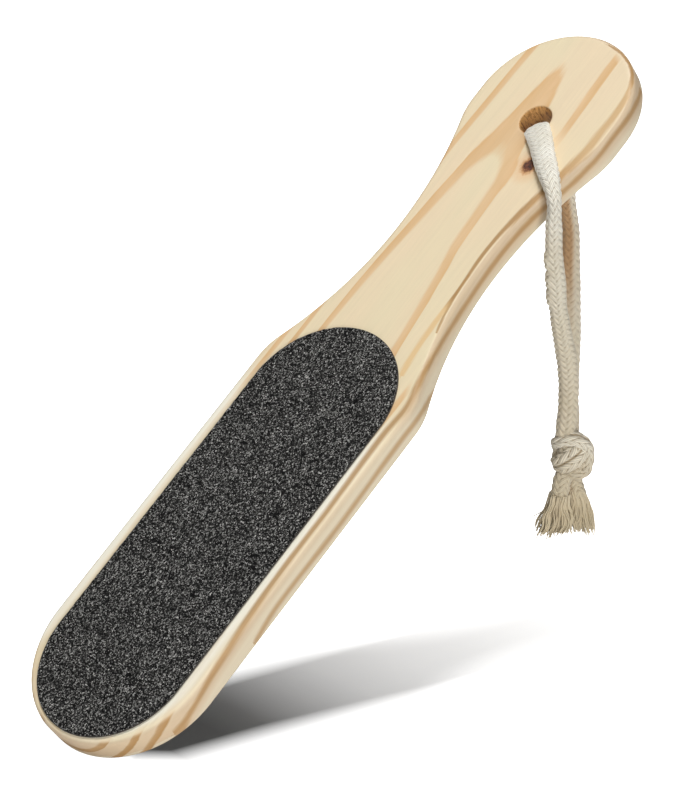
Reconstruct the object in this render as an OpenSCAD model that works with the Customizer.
// Two-sided foot file: a flat pine paddle with an abrasive sheet on each face and a cord loop.
// The paddle has its own frame: x runs along it to the handle's end, y across it, and z out of
// the coarse face, from the middle of the neck. posed() leans that frame as the file is held,
// tip down and coarse face up, so that the cord hangs along -z of the part.

/* [Paddle] */
// Overall length of the paddle
paddle_l = 255; // [235:1:275]
// Width of the head, which carries the abrasive sheets
head_w = 60; // [56:1:70]
// Width of the round end of the handle
handle_w = 52.5; // [46:0.5:58]
// Length of the straight side between the roundings of the handle's end
handle_flat = 5; // [1:0.5:10]
// Width of the neck at its narrowest
neck_w = 36; // [30:1:40]
// Distance from the head's tip to the narrowest place of the neck
neck_from_tip = 175.5; // [172:0.5:182]
// Radius of the neck's hollow on the side of the head
neck_r = 105; // [80:1:120]
// Radius of the shoulder between the head and the neck
shoulder_r = 20; // [10:1:24]
// Thickness of the board
board_t = 8.5; // [7:0.5:10]
// Radius of the rounded edges
edge_r = 1.5; // [1:0.25:3]

/* [Hole for the cord] */
// Diameter of the hole
hole_d = 10; // [9.5:0.5:14]
// Distance from the head's tip to the middle of the hole
hole_from_tip = 222.5; // [220:0.5:226]
// Width of the broken edge of the hole
hole_edge = 0.4; // [0.2:0.1:1]

/* [Abrasive sheets] */
// Length of each sheet
sheet_l = 140; // [110:1:142]
// Width of each sheet
sheet_w = 50; // [40:1:52]
// Gap between a sheet and the rounded edge at the head's tip
sheet_gap = 0.1; // [0.05:0.05:4]
// Thickness of the adhesive film under a sheet
adhesive_t = 0.15; // [0.1:0.05:0.3]
// Thickness of the backing paper
backing_t = 0.35; // [0.2:0.05:0.6]
// Thickness of the coarse grit coat
coarse_t = 0.4; // [0.3:0.05:0.8]
// Thickness of the fine grit coat
fine_t = 0.2; // [0.1:0.05:0.3]
// How far the adhesive and the grit stay inside the paper's edge
sheet_margin = 0.2; // [0.1:0.05:0.5]

/* [Cord] */
// Diameter of the braided cord
cord_d = 6; // [5:0.25:6]
// Width of the knot
knot_w = 13; // [12:0.5:15]
// Width of the knot's core, inside the wraps
knot_core_w = 10; // [9:0.5:12]
// Diameter of the wraps that go round the knot
wrap_d = 5.6; // [4.5:0.1:6]
// Width of each frayed end
fringe_w = 8.5; // [7:0.5:9.5]

/* [Pose] */
// Angle of the long axis above the horizontal
incline = 40.2; // [35:0.1:45]
// Roll about the long axis, which lowers the side where the cord hangs
roll = 6.5; // [3:0.1:9]

/* [Hidden] */

// Fineness: steps in a quarter turn of a large arc, in a small one and in an edge rounding
arc_steps = 16;
small_steps = 6;
edge_steps = 4;
round_fn = 96;
overrun = 1;

// Radii and centres of the paddle's outline, from the middle of the neck
head_r = head_w / 2;
handle_r = handle_w / 2;
neck_half = neck_w / 2;
head_x = head_r - neck_from_tip;
end_x = paddle_l - neck_from_tip - handle_r;
flank_x = end_x - handle_flat;
// The shoulder's arc touches the neck's arc, which fixes where the shoulder lies
shoulder_y = head_r - shoulder_r;
neck_rise = neck_half + neck_r - shoulder_y;
shoulder_x = -sqrt(pow(neck_r + shoulder_r, 2) - pow(neck_rise, 2));
shoulder_turn = atan2(neck_rise, -shoulder_x);
// The handle's hollow touches the handle's rounding, which fixes its radius
hollow_r = (flank_x * flank_x + neck_half * neck_half - handle_r * handle_r)
    / (2 * (handle_r - neck_half));
hollow_turn = atan2(neck_half + hollow_r, -flank_x);

hole_x = hole_from_tip - neck_from_tip;
sheet_r = sheet_w / 2;
sheet_x = -neck_from_tip + edge_r + sheet_gap + sheet_l / 2;

// The cord hangs in an upright plane through two pivots, where its strands start to swing.
// Loop points are [distance from the rear pivot to the front one, distance to the side, height].
cord_r = cord_d / 2;
cord_sides = 10;
pivot_gap = 0.3;
rear_pivot = [40, -8.5, 10];
pivot_span = 27.5;
loop_dir = [-0.8, -0.6, 0];
side_dir = [0.6, -0.8, 0];
front_pivot = rear_pivot + pivot_span * loop_dir;
// Height of the flat ends of the cord over each pivot, clear of the strand's round top
hole_cord_end = cord_r + pivot_gap;
cap_turns = [60, 30];

// From the front pivot over the coarse face, through the hole and down to the rear pivot
hole_route = [
    [18, -25, 14],
    [17.5, -25.5, 17],
    [17.5, -25, 19.5],
    [18, -23, 22.5],
    [18.5, -20.5, 24.5],
    [20.5, -17, 26.5],
    [24, -12, 29.5],
    [26.5, -8, 32.5],
    [28.5, -4.5, 34.5],
    [30.5, -2.5, 34.5],
    [32.5, -1.5, 33],
    [35, -1, 29.5],
    [38, -0.5, 26.5],
    [39.5, -0.5, 24.5],
    [41, -2, 21.5],
    [41, -5, 18.5],
    [40.5, -7.5, 16.5],
    [40, -8.5, 15]
];
front_route = [
    [27.5, 0, 10],
    [26.5, 0, 2],
    [24, 0.5, -7],
    [20, 0.5, -16],
    [15, 1, -25],
    [11.5, 2, -34],
    [9.5, 2.5, -42],
    [9.5, 2.5, -50],
    [9.5, 2, -55],
    [9.5, 2, -59]
];
rear_route = [
    [0, 0, 10],
    [0, 0.5, 1],
    [0, 0.5, -9],
    [0.5, 1, -19],
    [1.5, 1.5, -29],
    [2.5, 1.5, -39],
    [3, 1.5, -49],
    [3, 2, -55],
    [3, 2, -59]
];
front_tail_route = [
    [9.5, 1, -73],
    [9.5, 1, -75],
    [9.5, 0, -79],
    [9.5, 0, -81]
];
rear_tail_route = [
    [3, 3.5, -73],
    [3, 3.5, -75],
    [3, 5, -79],
    [3, 5, -81]
];
front_fringe_route = [
    [9.5, 0, -81],
    [9.5, 0, -83],
    [9.5, -2, -91]
];
rear_fringe_route = [
    [3, 5, -81],
    [3, 5, -83],
    [3, 6, -91]
];

// The knot fills the space between the strands' lower ends and the tails' upper ends
knot_top = front_route[len(front_route) - 1].z;
knot_bottom = front_tail_route[0].z;
knot_h = knot_top - knot_bottom;
knot_place = [6.25, 3.5, (knot_top + knot_bottom) / 2];
wrap_turns = [-28, 42];

// Points of an arc about (cx, cy), from one angle to another
function arc(cx, cy, r, from, to, steps) = [
    for (i = [0 : steps]) let (a = from + (to - from) * i / steps) [cx + r * cos(a), cy + r * sin(a)]
];

// One side of the paddle's outline, from the tip to the end, drawn in by inset
function half_outline(inset) = concat(
    arc(head_x, 0, head_r - inset, 180, 90, arc_steps),
    arc(shoulder_x, shoulder_y, shoulder_r - inset, 90, shoulder_turn, small_steps),
    arc(0, neck_half + neck_r, neck_r + inset, 180 + shoulder_turn, 270, small_steps),
    [for (p = arc(0, neck_half + hollow_r, hollow_r + inset, 270, 180 + hollow_turn, small_steps))
        if (p.x > 0) p],
    arc(flank_x, 0, handle_r - inset, hollow_turn, 90, small_steps),
    arc(end_x, 0, handle_r - inset, 90, 0, arc_steps)
);

// The whole outline: one side, and the other side mirrored, without the two points on the axis
function outline(inset) = let (side = half_outline(inset)) concat(
    side,
    [for (i = [len(side) - 2 : -1 : 1]) [side[i].x, -side[i].y]]
);

// Rings of the rounded board from the fine face to the coarse face: [inset, height]
function board_rings() = let (
    core = board_t / 2 - edge_r,
    turns = [for (i = [0 : edge_steps]) 90 * i / edge_steps]
) concat(
    [for (i = [edge_steps : -1 : 0]) [edge_r * (1 - cos(turns[i])), -core - edge_r * sin(turns[i])]],
    [for (a = turns) [edge_r * (1 - cos(a)), core + edge_r * sin(a)]]
);

// Triangles between closed rings of n points, and a flat cap on the first and the last ring
function ring_faces(rings, n) = concat(
    [[for (i = [0 : n - 1]) i]],
    [for (k = [0 : rings - 2], i = [0 : n - 1]) [k * n + i, (k + 1) * n + i, k * n + (i + 1) % n]],
    [for (k = [0 : rings - 2], i = [0 : n - 1])
        [k * n + (i + 1) % n, (k + 1) * n + i, (k + 1) * n + (i + 1) % n]],
    [[for (i = [n - 1 : -1 : 0]) (rings - 1) * n + i]]
);

function unit(v) = v / norm(v);

// Direction of a route at its point i
function heading(route, i) =
    unit(route[min(i + 1, len(route) - 1)] - route[max(i - 1, 0)]);

// A loop point in the part's frame
function in_loop(p) =
    [rear_pivot.x, rear_pivot.y, 0] + p[0] * loop_dir + p[1] * side_dir + [0, 0, p[2]];

// A ring of the cord about a point, square to a direction
function cord_ring(centre, dir, r) = let (
    across = unit(cross(dir, side_dir)),
    over = cross(across, dir)
) [for (j = [0 : cord_sides - 1]) let (a = 360 * j / cord_sides)
    centre + r * (cos(a) * over + sin(a) * across)];

// A tube along a route, with a radius at each of its points
module tube(route, radii) {
    rings = [for (i = [0 : len(route) - 1]) cord_ring(route[i], heading(route, i), radii[i])];
    polyhedron(
        points = [for (ring = rings) each ring],
        faces = ring_faces(len(route), cord_sides),
        convexity = 6
    );
}

// A hanging strand: round at its top about the pivot, flat at its lower end
module strand(route) {
    path = [for (p = route) in_loop(p)];
    up = unit(path[0] - path[1]);
    cap = [for (a = cap_turns) path[0] + cord_r * sin(a) * up];
    tube(
        concat(cap, path),
        concat([for (a = cap_turns) cord_r * cos(a)], [for (p = path) cord_r])
    );
}

// A frayed end: the tail's size at its top, spread at its foot
module fringe(route) {
    tube([for (p = route) in_loop(p)], [cord_r, cord_r, fringe_w / 2]);
}

module posed() {
    rotate([0, -incline, 0]) rotate([roll, 0, 0]) children();
}

// The outline of a sheet, drawn in by inset, at the head
module sheet_outline(inset) {
    for (side = [-1, 1]) translate([sheet_x + side * (sheet_l / 2 - sheet_r), 0])
        circle(r = sheet_r - inset, $fn = round_fn);
    translate([sheet_x, 0])
        square([sheet_l - sheet_w, sheet_w - 2 * inset], center = true);
}

// A layer of a sheet on the face given by side, from one height over the wood to another
module layer(side, low, high, inset) {
    base = side * board_t / 2;
    posed() translate([0, 0, side > 0 ? base + low : base - high])
        linear_extrude(high - low) sheet_outline(inset);
}

module paddle() {
    rings = board_rings();
    side_n = len(outline(0));
    color("#E9D9B4") posed() difference() {
        polyhedron(
            points = [for (r = rings) each [for (p = outline(r[0])) [p.x, p.y, r[1]]]],
            faces = ring_faces(len(rings), side_n),
            convexity = 8
        );
        translate([hole_x, 0, -board_t / 2 - overrun])
            cylinder(d = hole_d, h = board_t + 2 * overrun, $fn = round_fn);
        for (side = [0, 1]) mirror([0, 0, side]) translate([hole_x, 0, board_t / 2 - hole_edge])
            cylinder(r1 = hole_d / 2, r2 = hole_d / 2 + 2 * hole_edge, h = 2 * hole_edge, $fn = round_fn);
    }
}

module coarse_adhesive() {
    color("#B8A67E") layer(1, 0, adhesive_t, sheet_margin);
}

module coarse_backing() {
    color("#6B5F52") layer(1, adhesive_t, adhesive_t + backing_t, 0);
}

module coarse_grit() {
    low = adhesive_t + backing_t;
    color("#2C2D2F") layer(1, low, low + coarse_t, sheet_margin);
}

module fine_adhesive() {
    color("#B8A67E") layer(-1, 0, adhesive_t, sheet_margin);
}

module fine_backing() {
    color("#6B5F52") layer(-1, adhesive_t, adhesive_t + backing_t, 0);
}

module fine_grit() {
    low = adhesive_t + backing_t;
    color("#3A3B3E") layer(-1, low, low + fine_t, sheet_margin);
}

// The part of the cord that the wood holds: over the face, through the hole and out behind
module cord_through_hole() {
    path = concat(
        [front_pivot + [0, 0, hole_cord_end]],
        hole_route,
        [rear_pivot + [0, 0, hole_cord_end]]
    );
    color("#DDD5C1") tube(path, [for (p = path) cord_r]);
}

module cord_front_strand() {
    color("#DDD5C1") strand(front_route);
}

module cord_rear_strand() {
    color("#D2C5AC") strand(rear_route);
}

// An overhand knot: a round core with two tilted wraps of the cord about it
module cord_knot() {
    wrap_r = wrap_d / 2;
    color("#DDD5C1") translate(in_loop(knot_place)) rotate([0, 0, atan2(side_dir.y, side_dir.x)]) {
        rotate_extrude($fn = round_fn) intersection() {
            translate([0, -knot_h / 2]) square([knot_core_w / 2, knot_h]);
            circle(r = norm([knot_core_w, knot_h]) / 2 - wrap_r / 2, $fn = round_fn);
        }
        for (a = wrap_turns) rotate([0, a, 0]) rotate_extrude($fn = round_fn)
            translate([knot_w / 2 - wrap_r, 0]) circle(r = wrap_r, $fn = round_fn);
    }
}

module cord_front_tail() {
    color("#D8CDB6") tube([for (p = front_tail_route) in_loop(p)], [for (p = front_tail_route) cord_r]);
}

module cord_rear_tail() {
    color("#D8CDB6") tube([for (p = rear_tail_route) in_loop(p)], [for (p = rear_tail_route) cord_r]);
}

module cord_front_fringe() {
    color("#D8CDB6") fringe(front_fringe_route);
}

module cord_rear_fringe() {
    color("#D8CDB6") fringe(rear_fringe_route);
}

paddle();
coarse_adhesive();
coarse_backing();
coarse_grit();
fine_adhesive();
fine_backing();
fine_grit();
cord_through_hole();
cord_front_strand();
cord_rear_strand();
cord_knot();
cord_front_tail();
cord_rear_tail();
cord_front_fringe();
cord_rear_fringe();
